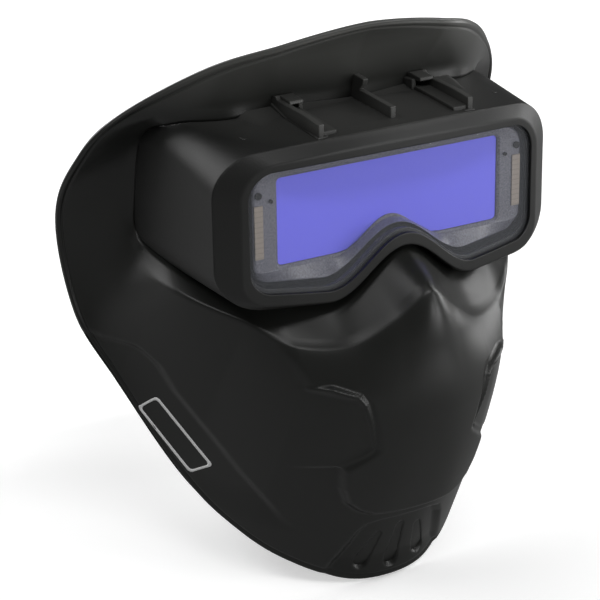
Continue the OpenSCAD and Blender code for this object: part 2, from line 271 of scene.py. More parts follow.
def ramp(tree, source, low, high, start=0.35, end=0.65):
    node = tree.nodes.new("ShaderNodeValToRGB")
    for stop, place_on_ramp, tone in zip(node.color_ramp.elements, (start, end), (low, high)):
        stop.position = place_on_ramp
        stop.color = rgba(tone)
    tree.links.new(source, node.inputs["Fac"])
    return node.outputs["Color"]


def map_range(tree, source, low, high, to_low=0.0, to_high=1.0):
    node = tree.nodes.new("ShaderNodeMapRange")
    for key, value in (("From Min", low), ("From Max", high), ("To Min", to_low), ("To Max", to_high)):
        node.inputs[key].default_value = value
    tree.links.new(source, node.inputs["Value"])
    return node.outputs["Result"]


def bump(tree, shader, height, strength, distance):
    node = add(tree, "ShaderNodeBump", Strength=strength, Distance=distance)
    tree.links.new(height, node.inputs["Height"])
    tree.links.new(node.outputs["Normal"], shader.inputs["Normal"])


def paint_light_above(tree, colour, where, painted_light_tone, low, high):
    """Paints light into a colour: a pale tone from a low height on the object up to a high one, in metres."""
    split = add(tree, "ShaderNodeSeparateXYZ")
    tree.links.new(where, split.inputs[0])
    mix = add(tree, "ShaderNodeMix", data_type="RGBA")
    tree.links.new(map_range(tree, split.outputs["Z"], low, high), mix.inputs["Factor"])
    tree.links.new(colour, mix.inputs[MIX_A])
    mix.inputs[MIX_B].default_value = rgba(painted_light_tone)
    return mix.outputs[MIX_RESULT]


def moulded(name, dark, light, rough, grain=900.0, relief=0.12, gloss=0.4, painted_light=None):
    """Moulded plastic: a spark-eroded texture, faint flow marks, uneven gloss and perhaps painted light high
    up.
    """
    mat, tree, shader = nodes_of(name)
    where = object_place(tree)
    flow = add(tree, "ShaderNodeTexNoise", Scale=14.0, Detail=3.0, Roughness=0.6)
    fine = add(tree, "ShaderNodeTexNoise", Scale=grain, Detail=2.0, Roughness=0.5)
    for node in (flow, fine):
        tree.links.new(where, node.inputs["Vector"])
    colour = ramp(tree, flow.outputs["Fac"], dark, light)
    # Painted light: the tone turns paler towards the top of the object.
    if painted_light:
        colour = paint_light_above(tree, colour, where, *painted_light)
    tree.links.new(colour, shader.inputs["Base Color"])
    tree.links.new(ramp(tree, flow.outputs["Fac"], *rough, 0.3, 0.7), shader.inputs["Roughness"])
    bump(tree, shader, fine.outputs["Fac"], relief, 0.0004)
    shader.inputs["Specular IOR Level"].default_value = gloss
    return mat


def printed_plate(dark, light):
    """The cartridge's face: dark grey with a fine sparkle under a glossy skin."""
    mat, tree, shader = nodes_of("cartridge_plate")
    speck = add(tree, "ShaderNodeTexNoise", Scale=1500.0, Detail=2.0)
    tree.links.new(object_place(tree), speck.inputs["Vector"])
    tree.links.new(ramp(tree, speck.outputs["Fac"], dark, light, 0.3, 0.7), shader.inputs["Base Color"])
    bump(tree, shader, speck.outputs["Fac"], 0.2, 0.0003)
    shader.inputs["Roughness"].default_value = 0.35
    return mat


def filter_coating(straight, painted_sheen_tone):
    """The dichroic face of the filter: violet blue, with a painted sheen, a little paler at a grazing view.
    """
    mat, tree, shader = nodes_of("filter_coating")
    # Painted sheen: the base colour pales as the surface turns away from the view.
    layer = add(tree, "ShaderNodeLayerWeight", Blend=0.35)
    tone = ramp(tree, layer.outputs["Facing"], straight, painted_sheen_tone, 0.0, 0.9)
    tree.links.new(tone, shader.inputs["Base Color"])
    shader.inputs["Roughness"].default_value = 0.16
    shader.inputs["Specular IOR Level"].default_value = 0.35
    return mat


def clear_plastic(name, tint, alpha):
    """Clear plastic with faint haze in its gloss."""
    mat, tree, shader = nodes_of(name)
    haze = add(tree, "ShaderNodeTexNoise", Scale=60.0, Detail=2.0)
    tree.links.new(object_place(tree), haze.inputs["Vector"])
    tree.links.new(ramp(tree, haze.outputs["Fac"], 0.02, 0.05), shader.inputs["Roughness"])
    shader.inputs["Base Color"].default_value = rgba(tint)
    shader.inputs["Alpha"].default_value = alpha
    shader.inputs["Specular IOR Level"].default_value = 0.12
    return mat


def solar_face(scribe, strip):
    """Thin-film cell: warm grey-brown strips between fine darker scribe lines."""
    mat, tree, shader = nodes_of("solar_face")
    wave = add(tree, "ShaderNodeTexWave", Scale=140.0, wave_type="BANDS", bands_direction="Z")
    tree.links.new(object_place(tree), wave.inputs["Vector"])
    tree.links.new(ramp(tree, wave.outputs["Fac"], scribe, strip, 0.0, 0.2), shader.inputs["Base Color"])
    shader.inputs["Roughness"].default_value = 0.3
    shader.inputs["Coat Weight"].default_value = 0.5
    return mat


def woven(name, dark, light, pitch=700.0):
    """Woven elastic: ribs crossed by slanting picks, with a soft sheen."""
    mat, tree, shader = nodes_of(name)
    where = object_place(tree)
    ribs = add(tree, "ShaderNodeTexWave", Scale=pitch / 3.5, wave_type="BANDS", bands_direction="Z")
    picks = add(tree, "ShaderNodeTexWave", Scale=pitch / 2.2, wave_type="BANDS", bands_direction="DIAGONAL")
    fuzz = add(tree, "ShaderNodeTexNoise", Scale=pitch, Detail=4.0)
    for node in (ribs, picks, fuzz):
        tree.links.new(where, node.inputs["Vector"])
    weave = add(tree, "ShaderNodeMath", operation="MULTIPLY")
    tree.links.new(ribs.outputs["Fac"], weave.inputs[0])
    tree.links.new(picks.outputs["Fac"], weave.inputs[1])
    total = add(tree, "ShaderNodeMath", operation="ADD")
    tree.links.new(weave.outputs[0], total.inputs[0])
    tree.links.new(fuzz.outputs["Fac"], total.inputs[1])
    tree.links.new(ramp(tree, total.outputs[0], dark, light, 0.3, 1.2), shader.inputs["Base Color"])
    bump(tree, shader, total.outputs[0], 0.5, 0.0005)
    shader.inputs["Roughness"].default_value = 0.85
    shader.inputs["Sheen Weight"].default_value = 0.3
    return mat


def plain_metal(name, tone, rough):
    """Bare metal with its gloss broken up by fine marks."""
    mat, tree, shader = nodes_of(name)
    marks = add(tree, "ShaderNodeTexNoise", Scale=350.0, Detail=4.0)
    tree.links.new(object_place(tree), marks.inputs["Vector"])
    tree.links.new(ramp(tree, marks.outputs["Fac"], rough * 0.7, rough * 1.3), shader.inputs["Roughness"])
    shader.inputs["Base Color"].default_value = rgba(tone)
    shader.inputs["Metallic"].default_value = 1.0
    return mat


# The shield and the body are painted paler high up: painted light on the brow, the roof and the crown.
SHIELD_BLACK = moulded("shield_black", (0.0085, 0.009, 0.008), (0.011, 0.0115, 0.0105), (0.33, 0.39),
                       grain=1400.0, relief=0.04, gloss=0.34, painted_light=((0.06, 0.061, 0.057), 0.036, 0.06))
BODY_BLACK = moulded("body_black", (0.0095, 0.0098, 0.0093), (0.013, 0.0133, 0.0128), (0.4, 0.48),
                     grain=1300.0, gloss=0.33, painted_light=((0.05, 0.0505, 0.048), 0.033, 0.039))
GLOSS_BLACK = moulded("gloss_black", (0.003, 0.003, 0.003), (0.004, 0.004, 0.004), (0.1, 0.14),
                      grain=1400.0, relief=0.01, gloss=0.3)
RUBBER = moulded("gasket_rubber", (0.008, 0.008, 0.008), (0.012, 0.012, 0.012), (0.6, 0.7),
                 grain=700.0, relief=0.1)
FOAM = woven("seal_fabric", (0.012, 0.012, 0.013), (0.04, 0.04, 0.042), 1500.0)
WEBBING = woven("strap_webbing", (0.012, 0.012, 0.013), (0.05, 0.05, 0.052))
PLATE = printed_plate((0.05, 0.05, 0.065), (0.14, 0.14, 0.175))
COATING = filter_coating((0.165, 0.162, 0.9), (0.195, 0.19, 0.94))
CLEAR = clear_plastic("cover_clear", (0.75, 0.78, 0.85), 0.04)
INNER_CLEAR = clear_plastic("inner_clear", (0.6, 0.63, 0.7), 0.2)
SOLAR = solar_face((0.2, 0.165, 0.135), (0.25, 0.21, 0.175))
STEEL = plain_metal("pin_steel", (0.55, 0.56, 0.57), 0.3)
RED = moulded("switch_red", (0.35, 0.02, 0.015), (0.42, 0.03, 0.02), (0.35, 0.45))
BOARD = moulded("board_green", (0.01, 0.06, 0.025), (0.015, 0.09, 0.04), (0.35, 0.5), grain=500.0)
WHITE_INK = moulded("white_ink", (0.75, 0.75, 0.75), (0.82, 0.82, 0.82), (0.4, 0.5), relief=0.03)


def dress(node, material):
    """Gives a carried-over CAD node its material."""
    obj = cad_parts[node]
    obj.data.materials.clear()
    obj.data.materials.append(material)


for side in ("left", "right"):
    dress("solar_cell_" + side, SOLAR)
    dress("arc_sensor_" + side, GLOSS_BLACK)
    dress("status_light_" + side, GLOSS_BLACK)
    dress("pivot_pin_" + side, STEEL)
    dress("strap_clip_" + side, BODY_BLACK)
    dress("strap_slider_" + side, GLOSS_BLACK)
for node, material in (
    ("filter_glass", COATING), ("inner_lens", INNER_CLEAR), ("circuit_board", BOARD), ("coin_cell", STEEL),
    ("seal_frame", BODY_BLACK), ("shade_dial", BODY_BLACK), ("sensitivity_dial", BODY_BLACK),
    ("delay_switch", RED), ("battery_cap", BODY_BLACK),
):
    dress(node, material)


# ---------------------------------------------------------------- face shield

# The guide lines of the shield, from brow to chin, as in the CAD model
CREASE_LINE = [(0, 42, 43), (35, 46, 43), (60, 49, 40.5), (80, 66, 35.5), (84, 85, 20.5), (85, 96, -8),
               (84, 88, -33), (82, 50, -37.5), (66, 20, -44), (50, 8, -51.5), (31, -4, -50.5),
               (14, -12.5, -39), (0, -17, -28)]
RIM_LINE = [(0, 26, 72), (41.5, 32, 66.5), (68.5, 49, 57), (94.5, 77, 34.5), (106, 95, 12), (109, 116, -20),
            (104.5, 110, -64), (94, 93, -93), (74, 72, -136), (57, 45, -158), (40, 29, -170), (20, 18, -178),
            (0, 15, -180)]
# The collar on the housing, as (place round its outline, depth)
COLLAR_ROUTE = [(0, 42), (0.29, 46), (0.52, 48), (0.79, 65), (0.96, 84), (1.6, 92), (2.04, 91), (2.2, 62),
                (2.41, 38), (2.56, 24), (2.73, 12), (2.87, 9), (3, 8)]
BOW_LINE = [-4, 0, 0, 0, 0, 0, -4, -6, 0, 14, 16, 16, 16]
HOLLOW_POWER, BULGE_POWER = 1.5, 0.65
STATIONS = 12
COLUMNS_PER_STATION = 26
ROWS = 190
# The fold at the crease: its reach to each side, at most a share of the way to the collar, and its rows
FOLD = 2.2
FOLD_SHARE = 0.4
FOLD_ROWS = 6
COLLAR_STEP = 0.4
GRIP = 0.4
# The inner skin skips rows
INNER_STEP = 8
INNER_END = 4
EDGE_BULGE = 0.35
MIRROR = np.array([-1.0, 1.0, 1.0])


def spline(values, u, mirror, shift=0.0):
    """Catmull-Rom through the stations; past both ends it runs into its own mirror image."""
    v = np.asarray(values, float)
    v = np.concatenate([v[1:2] * mirror, v, v[-2:-1] * mirror + shift])
    i = np.minimum(np.floor(u).astype(int), STATIONS - 1)
    t = (u - i)[:, None]
    a, b, c, d = v[i], v[i + 1], v[i + 2], v[i + 3]
    square, cube = 2 * a - 5 * b + 4 * c - d, 3 * b - a - 3 * c + d
    return (2 * b + (c - a) * t + square * t ** 2 + cube * t ** 3) / 2


def on_goggles(t, depth):
    """A point just under the skin of the housing: t is 0 at the middle of the top and 3 at the nose."""
    ends = []
    quarter = np.pi / 2
    for o, start, curve in ((HOUSING_FRONT, HOUSING_START, SEAM_CURVE), (HOUSING_MID, MID_DEPTH, BROW_CURVE),
                            (HOUSING_REAR, BACK_DEPTH, BROW_CURVE)):
        o = inset(o, GRIP)
        over = o.half * np.sin(quarter * t)
        under = o.half * np.sin(quarter * (3 - t))
        x = np.where(t <= 1, over, np.where(t >= 2, under, o.half))
        side = top_edge(o, o.half) * (2 - t) + foot_edge(o, o.half) * (t - 1)
        z = np.where(t <= 1, top_edge(o, x), np.where(t >= 2, foot_edge(o, x), side))
        ends.append(np.stack([x, start + sweep(curve, x), z], 1))
    a, b, c = ends
    late = (depth > b[:, 1])[:, None]
    p, q = np.where(late, b, a), np.where(late, c, b)
    k = ((depth - p[:, 1]) / (q[:, 1] - p[:, 1]))[:, None]
    return p + k * (q - p)


def from_segment(x, z, a, b):
    """Distance to the segment from a to b, and how far along it the nearest point is, from 0 to 1."""
    (ax, az), (bx, bz) = a, b
    t = np.clip(((x - ax) * (bx - ax) + (z - az) * (bz - az)) / ((bx - ax) ** 2 + (bz - az) ** 2), 0, 1)
    return np.hypot(x - ax - t * (bx - ax), z - az - t * (bz - az)), t


def inside_distance(polygon, x, z):
    """Signed distance to a polygon's edge, positive inside."""
    best = np.full(x.shape, np.inf)
    inside = np.zeros(x.shape, bool)
    for (ax, az), (bx, bz) in zip(polygon, polygon[1:] + polygon[:1]):
        best = np.minimum(best, from_segment(x, z, (ax, az), (bx, bz))[0])
        crosses = (az > z) != (bz > z)
        at = ax + (z - az) / (bz - az if bz != az else TINY) * (bx - ax)
        inside ^= crosses & (x < at)
    return np.where(inside, best, -best)


# Outlines of the moulded panels on one half, seen from the front
CENTRE_PANEL = [(-5, -10), (40, -44), (56, -53), (51, -62), (48, -70), (31, -72), (28, -76), (25.5, -87),
                (23.4, -98), (25, -100), (34, -108), (33.5, -113), (32.5, -119.5), (29.4, -127.7),
                (24.2, -132.7), (18, -135.2), (-5, -135.6)]
WING = [(49, -69.5), (40, -68.5), (30.5, -71.5), (28, -75.5), (25.8, -84), (23.4, -97.5), (25, -100),
        (35.5, -108.3), (72, -116), (78, -84)]
CHIN_RECESS = [(-5, -142.7), (12, -142.9), (18.2, -144.6), (21, -149.5), (23.5, -157), (27, -167), (31, -178),
               (-5, -188)]
CHEEK_PLATE = [(-5, 0), (104, -40), (97, -71.7), (89, -71.8), (83.9, -78.2), (79.3, -89.6), (69.2, -107.9),
               (61.9, -122.2), (55.6, -132.3), (48, -144), (30, -160), (-5, -160)]
CHIN_SLOTS = [((0, -150.5), (0, -171)), ((10.6, -153.5), (15.2, -169))]

# How far the panels stand out or sink in; the wing stands lower towards its foot
CENTRE_HEIGHT = 4.2
WING_HEIGHT, WING_FALL = 4.0, 2.6
CHIN_DEPTH = 2.6
CHEEK_BORDER_DEPTH = 1.4
SLOT_DEPTH = 3.4
SLOT_EDGE = 0.6
SLOT_TOP_RADIUS, SLOT_FOOT_RADIUS = 1.2, 3.1
LIP_GROOVE, LIP_GROOVE_AT, LIP_GROOVE_HALF = 0.55, 3.4, 0.7
LIP_ROUND, LIP_ROUND_REACH = 0.9, 1.3


def relief(x, z):
    """Height of the moulded detail above the plain shell."""
    ax = np.abs(x)
    centre = smooth(-2.6, 2.8, inside_distance(CENTRE_PANEL, ax, z))
    height = CENTRE_HEIGHT * centre * smooth(-52, -84, z)
    wing = smooth(-0.9, 0.9, inside_distance(WING, ax, z)) * smooth(54, 32, ax)
    height = height + wing * (WING_HEIGHT - WING_FALL * smooth(-70, -106, z))
    chin = smooth(-2.0, 1.6, inside_distance(CHIN_RECESS, ax, z))
    height = height - CHIN_DEPTH * chin * smooth(-178, -166, z)
    border = smooth(1.6, -1.6, inside_distance(CHEEK_PLATE, ax, z))
    height = height - CHEEK_BORDER_DEPTH * border * smooth(-69.5, -73.5, z) * smooth(-150, -130, z)
    for top, foot in CHIN_SLOTS:
        away, along = from_segment(ax, z, top, foot)
        gap = away - (SLOT_TOP_RADIUS + (SLOT_FOOT_RADIUS - SLOT_TOP_RADIUS) * along)
        height = height - SLOT_DEPTH * smooth(SLOT_EDGE, -SLOT_EDGE, gap)
    return height


def shield_skin():
    """Rows of points from the collar to the rim all the way round, and the back edge of the collar."""
    half = np.linspace(0, STATIONS, STATIONS * COLUMNS_PER_STATION + 1)
    crease = spline(CREASE_LINE, half, MIRROR)
    rim = spline(RIM_LINE, half, MIRROR)
    route = spline(COLLAR_ROUTE, half, MIRROR[:2], np.array([6.0, 0.0]))
    bow = np.interp(half, np.arange(STATIONS + 1), BOW_LINE)
    power = np.where(bow < 0, HOLLOW_POWER, BULGE_POWER)
    collar = on_goggles(route[:, 0], route[:, 1])
    collar_back = on_goggles(route[:, 0], route[:, 1] + SHELL)

    def surface(f):
        """One row of the skin; f runs from 0 at the crease to 1 at the rim, for each column."""
        p = crease * (1 - f)[:, None] + rim * f[:, None]
        p[:, 1] -= bow * np.sin(np.pi * f ** power)
        return p

    reach = np.linalg.norm(collar - crease, axis=1, keepdims=True)
    first = crease + (collar - crease) * np.minimum(FOLD / np.maximum(reach, 1e-6), FOLD_SHARE)
    f0 = FOLD / np.linalg.norm(rim - crease, axis=1)
    second = surface(f0)
    rows = [collar, collar * (1 - COLLAR_STEP) + first * COLLAR_STEP]
    rows += [bend(first, crease, second, t) for t in np.linspace(0, 1, FOLD_ROWS)]
    rows += [surface(f0 + (1 - f0) * k / (ROWS - 1)) for k in range(1, ROWS)]
    grid = np.stack(rows)
    grid = np.concatenate([grid, grid[:, 1:-1][:, ::-1] * MIRROR], 1)
    back = np.concatenate([collar_back, collar_back[1:-1][::-1] * MIRROR])
    return grid, back


def build_shield():
    """One closed shell: the skin with its relief and lip outside, and a plain, coarser skin inside."""
    grid, back = shield_skin()
    across = np.roll(grid, -1, 1) - np.roll(grid, 1, 1)
    normal = np.cross(across, np.gradient(grid, axis=0))
    normal /= np.maximum(np.linalg.norm(normal, axis=2, keepdims=True), TINY)

    along = np.linalg.norm(np.diff(grid, axis=0), axis=2)
    to_rim = np.concatenate([np.cumsum(along[::-1], 0)[::-1], np.zeros((1, grid.shape[1]))])
    groove = -LIP_GROOVE * np.exp(-((to_rim - LIP_GROOVE_AT) / LIP_GROOVE_HALF) ** 2)
    lip = groove - LIP_ROUND * smooth(LIP_ROUND_REACH, 0.0, to_rim)
    outer = grid + normal * (relief(grid[..., 0], grid[..., 2]) + lip)[..., None]

    edge = grid[-1] - normal[-1] * SHELL * 0.5 + (grid[-1] - grid[-2]) * EDGE_BULGE
    inner = [grid[-1] - normal[-1] * (SHELL - LIP_ROUND)]
    inner_rows = list(range(len(grid) - 1 - INNER_STEP, INNER_END, -INNER_STEP)) + [INNER_END]
    inner += [grid[r] - normal[r] * SHELL for r in inner_rows]
    loops = list(outer) + [edge] + inner + [back]
    faces = ring_faces(len(loops), grid.shape[1])
    obj = new_object("shield", place(np.concatenate(loops)), faces, SHIELD_BLACK, "goggles")
    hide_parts("face_shield")
    return obj


shield = build_shield()


# ---------------------------------------------------------------- goggles

HOUSING_WALL = 2.6
SEAT_FRONT, SEAT_BACK = 24.2, 27
SEAT_LEDGE = 1.2


def build_housing():
    """The hollow housing, with the seat that holds the cartridge."""
    obj = loft("housing", [
        laid(HOUSING_FRONT, HOUSING_START, SEAM_CURVE),
        laid(HOUSING_MID, MID_DEPTH, BROW_CURVE),
        laid(HOUSING_REAR, BACK_DEPTH, BROW_CURVE),
        laid(inset(HOUSING_REAR, HOUSING_WALL), BACK_DEPTH, BROW_CURVE),
        laid(inset(HOUSING_MID, HOUSING_WALL), MID_DEPTH, BROW_CURVE),
        laid(inset(FRAME_OUTER, SEAT_LEDGE), SEAT_BACK),
        laid(inset(FRAME_OUTER, SEAT_LEDGE), SEAT_FRONT),
        laid(inset(HOUSING_FRONT, HOUSING_WALL + 0.2), SEAT_FRONT),
        laid(inset(HOUSING_FRONT, HOUSING_WALL), HOUSING_START, SEAM_CURVE),
    ], [0.7, 16, 1.0, 0.8, 2, 1, 0.4, 0.8, 0.5], BODY_BLACK, "goggles")
    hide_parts("goggle_housing")


# The crown: its extent, its height and how it rises to the back, its shoulders, and what lies below the roof
CROWN_HALF, CROWN_FRONT, CROWN_BACK = 62, 26, 60
CROWN_HEIGHT, CROWN_RISE, CROWN_DROP = 35.4, 3.9, 0.6
RISE_FROM, RISE_LENGTH = 30, 19
SHOULDER_AT, SHOULDER_SLOPE = 50, 0.62
CROWN_SUNK, CROWN_BASE = 1.8, 33.6


def roof(x, y):
    """Height of the housing's roof at a place on it."""
    a = HOUSING_FRONT.top - HOUSING_FRONT.fall * (x / HOUSING_FRONT.half) ** 2
    b = HOUSING_MID.top - HOUSING_MID.fall * (x / HOUSING_MID.half) ** 2
    front = HOUSING_START + sweep(SEAM_CURVE, x)
    k = np.clip((y - front) / (MID_DEPTH + sweep(BROW_CURVE, x) - front), 0, 1)
    return a + k * (b - a)


def build_crown():
    """The raised crown on the roof: a wedge with firm shoulders that fades out towards the bezel."""
    xs = np.linspace(-CROWN_HALF, CROWN_HALF, 125)
    ys = np.linspace(CROWN_FRONT, CROWN_BACK, 52)
    rows = []
    for y in ys:
        risen = np.clip((y - RISE_FROM) / RISE_LENGTH, 0, 1)
        crown = CROWN_HEIGHT + CROWN_RISE * risen - CROWN_DROP * (xs / SHOULDER_AT) ** 2
        shoulder = crown - np.maximum(0, np.abs(xs) - SHOULDER_AT) * SHOULDER_SLOPE
        rows.append(np.stack([xs, np.full_like(xs, y), np.maximum(shoulder, roof(xs, y) - CROWN_SUNK)], 1))
    top = np.concatenate(rows)
    low = np.stack([top[:, 0], top[:, 1], np.full(len(top), CROWN_BASE)], 1)
    n, cols, last = len(top), len(xs), (len(ys) - 1) * len(xs)
    faces = []
    for start in range(0, last, cols):
        for a in range(start, start + cols - 1):
            faces.append((a, a + 1, a + cols + 1, a + cols))
            faces.append((n + a, n + a + cols, n + a + cols + 1, n + a + 1))
    border = list(range(cols)) + list(range(2 * cols - 1, n, cols))
    border += list(range(n - 2, last - 1, -1)) + list(range(last - cols, 0, -cols))
    for a, b in zip(border, border[1:] + border[:1]):
        faces.append((b, a, n + a, n + b))
    new_object("roof_crown", place(np.concatenate([top, low])), faces, BODY_BLACK, "goggles")


# Side profiles of the latch rails and the rib, as (behind the bezel, z)
RAIL_WALL = [(7.4, 33.6), (7.4, 40.3), (18.5, 41.3), (42, 42), (43.6, 43.4), (46, 42.7), (47.2, 41),
             (47.4, 38), (29.9, 35)]
RAIL_SOLE = [(7, 33.4), (7, 35.2), (30, 35.6), (47.6, 40.2), (47.8, 37)]
RAIL_FLOOR = [(8.4, 33.6), (8.4, 36.8), (39, 38.6), (39, 35.6)]
RAIL_BRIDGE = [(34.6, 41.4), (35, 42.9), (43.6, 43.4), (46, 42.7), (47.2, 41), (47.2, 39)]
RAIL_CHEEK = [(38.5, 36), (38.5, 41.6), (47.2, 41), (47.2, 36)]
RIB = [(10.6, 34), (10.6, 41.2), (36, 42.4), (33.2, 44.9), (32.3, 47.6), (44, 48.3), (43.8, 35.5)]

# A rail is a wall on a thin sole, a floor plate beside it, and a bridge over to the crown, each as
# (profile, from x, to x)
RAIL_PARTS = [(RAIL_WALL, 34.7, 37.3), (RAIL_SOLE, 33.0, 38.0), (RAIL_FLOOR, 28.2, 35.2),
              (RAIL_BRIDGE, 28.6, 35.2), (RAIL_CHEEK, 26.8, 28.9)]
RIB_PARTS = [(RIB, -1.2, 1.4)]
LATCH_BEVEL = 0.45


def build_latch(name, node, parts, side=1):
    """Bevelled solids made from side profiles; a side of -1 mirrors them."""
    verts, faces = [], []
    for profile, x0, x1 in parts:
        base, n = len(verts), len(profile)
        verts += [(side * x, y, z) for x in (x0, x1) for y, z in profile]
        faces.append(tuple(range(base, base + n))[::-1])
        faces.append(tuple(range(base + n, base + 2 * n)))
        for i in range(n):
            k = (i + 1) % n
            faces.append((base + i, base + k, base + n + k, base + n + i))
    if side > 0:
        faces = [f[::-1] for f in faces]
    obj = new_object(name, place(verts), faces, BODY_BLACK, "goggles")
    bevel(obj, LATCH_BEVEL)
    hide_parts(node)


LIP_DEPTH = 1.6
SKIRT_DEPTH = 4.2
COVER_FRONT, COVER_BACK = 1.65, 3.0
COVER_ROWS = 9
GASKET_FRONT, GASKET_BACK = 3.05, 4


def build_bezel():
    """The front bezel: a rounded frame with a skirt behind and a seat for the cover lens."""
    bezel = loft("bezel", [
        laid(BEZEL_FRONT, 0, FRONT_CURVE),
        laid(BEZEL_REAR, RIM_DEPTH, SEAM_CURVE),
        laid(SKIRT_REAR, RIM_DEPTH, SEAM_CURVE),
        laid(LENS_SEAT, SKIRT_DEPTH, FRONT_CURVE),
        laid(LENS_SEAT, LIP_DEPTH, FRONT_CURVE),
        laid(BEZEL_OPEN, LIP_DEPTH, FRONT_CURVE),
        laid(BEZEL_OPEN, 0, FRONT_CURVE),
    ], [1.0, 1.0, 0.5, 0.5, 0.3, 0.3, 0.6], BODY_BLACK, "front_frame", 7)
    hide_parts("front_bezel")


def build_gasket():
    """The rubber ring behind the cover lens."""
    gasket = loft("gasket", [
        laid(LENS_EDGE, GASKET_FRONT, FRONT_CURVE),
        laid(LENS_EDGE, GASKET_BACK, FRONT_CURVE),
        laid(GASKET_OPEN, GASKET_BACK, FRONT_CURVE),
        laid(GASKET_OPEN, GASKET_FRONT, FRONT_CURVE),
    ], [0.2, 0.2, 0.3, 0.3], RUBBER, "front_frame")
    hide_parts("lens_gasket")


def build_cover():
    """The curved clear cover lens: rows down its front, then up its back, closed at both ends."""
    n = 2 * EDGE_STEPS + 1
    edge = outline(LENS_EDGE)
    top, foot = edge[:n], edge[n:][::-1]
    sheets = []
    for depth in (COVER_FRONT, COVER_BACK):
        rows = []
        for t in np.linspace(0, 1, COVER_ROWS):
            p = top * (1 - t) + foot * t
            rows.append(np.stack([p[:, 0], depth + sweep(FRONT_CURVE, p[:, 0]), p[:, 1]], 1))
        sheets.append(rows)
    order = sheets[0] + sheets[1][::-1]
    count = len(order)
    faces = []
    for r in range(count):
        here, below = r * n, (r + 1) % count * n
        for c in range(n - 1):
            faces.append((here + c, here + c + 1, below + c + 1, below + c))
    for c in (0, n - 1):
        for r in range(COVER_ROWS - 1):
            quad = tuple(row * n + c for row in (r, r + 1, count - 2 - r, count - 1 - r))
            faces.append(quad if c == 0 else quad[::-1])
    obj = new_object("cover_lens_clear", place(np.concatenate(order)), faces, CLEAR, "front_frame")
    weight_normals(obj)
    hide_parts("cover_lens")


SHELF_FRONT, PLATE_FRONT, WINDOW_FRONT, WINDOW_BACK, FRAME_BACK = 7.2, 12.4, 13.4, 20, 24
WINDOW_CHAMFER, CHAMFER_FRONT = 1.1, 12.7
TUNNEL_FRONT, TUNNEL_STEP = 4.8, 9.0
TUNNEL_GAP = 0.15
GLOSSY_END = 1.9


def build_tunnel():
    """The glossy black wall between the cartridge and the bezel."""
    loft("tunnel", [
        laid(inset(LENS_SEAT, 0.8), TUNNEL_FRONT, FRONT_CURVE),
        laid(inset(LENS_SEAT, 0.8), FRAME_BACK),
        laid(inset(FRAME_OUTER, -TUNNEL_GAP), FRAME_BACK),
        laid(inset(FRAME_OUTER, -TUNNEL_GAP), TUNNEL_STEP, FRONT_CURVE),
        laid(inset(LENS_SEAT, 2.0), TUNNEL_FRONT, FRONT_CURVE),
    ], [0.3] * 5, GLOSS_BLACK, "goggles")


def build_cartridge():
    """The filter's frame: a flat plate round the window and a shelf below it, with glossy ends."""
    obj = loft("cartridge", [
        laid(SHELF_EDGE, SHELF_FRONT, FRONT_CURVE),
        laid(FRAME_OUTER, FRAME_BACK),
        laid(WINDOW_EDGE, WINDOW_BACK),
        laid(WINDOW_EDGE, WINDOW_FRONT),
        laid(inset(WINDOW_EDGE, -WINDOW_CHAMFER), CHAMFER_FRONT),
        laid(PLATE_EDGE, PLATE_FRONT),
    ], [0.9, 0.8, 0.4, 0.3, 0.4, 1.6], PLATE, "goggles")
    obj.data.materials.append(GLOSS_BLACK)
    ends_from = (FRAME_OUTER.half - GLOSSY_END) * MM
    for face in obj.data.polygons:
        if abs(face.normal.x) > 0.75 and abs(face.center.x) > ends_from:
            face.material_index = 1
    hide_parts("filter_frame")


SEAL_FRONT, SEAL_MID, SEAL_BACK = 66.6, 69.4, 72
SEAL_ROUND = 2.4


def build_seal():
    """The padded ring that rests on the face."""
    seal = loft("seal", [
        laid(SEAL_OUTER, SEAL_FRONT, BROW_CURVE),
        laid(inset(SEAL_OUTER, -0.4), SEAL_MID, BROW_CURVE),
        laid(inset(SEAL_OUTER, SEAL_ROUND), SEAL_BACK, BROW_CURVE),
        laid(inset(SEAL_INNER, -SEAL_ROUND), SEAL_BACK, BROW_CURVE),
        laid(inset(SEAL_INNER, 0.5), SEAL_MID, BROW_CURVE),
        laid(SEAL_INNER, SEAL_FRONT, BROW_CURVE),
    ], [0.3, 2.2, 2.4, 2.4, 2.2, 0.3], FOAM, "goggles", 6)
    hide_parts("face_seal")


build_housing()
build_crown()
build_latch("latch_rail_right", "rail_right", RAIL_PARTS)
build_latch("latch_rail_left", "rail_left", RAIL_PARTS, side=-1)
build_latch("latch_rib_bevelled", "latch_rib", RIB_PARTS)
build_bezel()
build_gasket()
build_cover()
build_tunnel()
build_cartridge()
build_seal()


# ---------------------------------------------------------------- head strap

# The strap is drawn flat as (x, away from the pins), then hung down about the pins' axis
PIN = Vector((0.0, 0.040, -0.002))
STRAP_DROP = math.radians(62)
STRAP_WIDTH = 36.0
WEB = 1.5
STRAP_SIDE = 87.0
STRAP_STRAIGHT = 51.1
SLOT_AT = 30.0
TAIL_END = 56
TAIL_OUT = 2.3
SLOT_BEND = 2.4
THIN_EDGE, EDGE_THINNING = 1.2, 0.55


def strap_line():
    """The strap's middle line: back through the slider, round the clip's slot, and on behind the head."""
    line = [(STRAP_SIDE + TAIL_OUT, s) for s in np.linspace(TAIL_END, SLOT_AT, 8)]
    half_out = TAIL_OUT / 2
    for a in np.linspace(0, math.pi, 7)[1:-1]:
        line.append((STRAP_SIDE + half_out + half_out * math.cos(a), SLOT_AT - SLOT_BEND * math.sin(a)))
    line += [(STRAP_SIDE, s) for s in np.linspace(SLOT_AT, STRAP_STRAIGHT, 10)]
    other = [(-x, s) for x, s in line[::-1]]
    for a in np.linspace(0, math.pi, 49)[1:-1]:
        line.append((STRAP_SIDE * math.cos(a), STRAP_STRAIGHT + STRAP_SIDE * math.sin(a)))
    return np.array(line + other)


